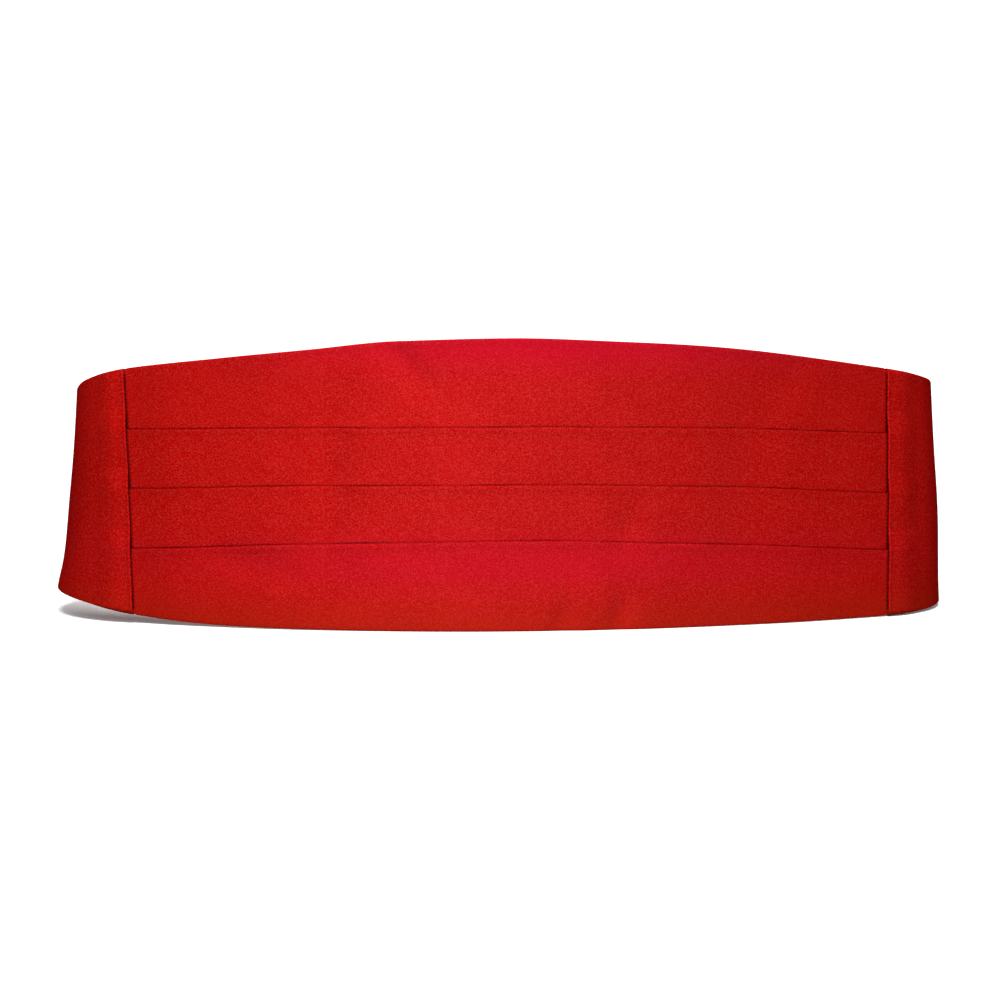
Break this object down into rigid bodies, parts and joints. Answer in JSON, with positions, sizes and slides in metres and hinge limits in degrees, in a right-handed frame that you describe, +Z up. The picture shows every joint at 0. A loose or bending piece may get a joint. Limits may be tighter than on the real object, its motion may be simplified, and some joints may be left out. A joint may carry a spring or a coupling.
{
  "type": "cummerbund",
  "caption": "Pleated satin cummerbund fastened into a flattened loop by a strap and a plate clasp behind, standing on its lower edge with its pleated front forward.",
  "frame": {"origin": "on the surface it stands on, under the middle of the loop's outer size", "axes": "+X from the left tab to the right tab as seen from the front, +Y from the pleated front to the strap behind, +Z up"},
  "size_m": [0.4012, 0.114, 0.1274],
  "materials": {
    "satin": "red satin with a soft sheen and a fine grain",
    "webbing": "flat woven band, matt",
    "clasp_metal": "nickel-coloured plate with softly rubbed edges"
  },
  "bodies": {
    "root": {"pleat_top": "satin", "pleat_upper": "satin", "pleat_lower": "satin", "pleat_bottom": "satin", "end_tab_left": "satin", "end_tab_right": "satin", "strap_left": "webbing", "strap_right": "webbing", "clasp": "clasp_metal"}
  },
  "joints": []
}
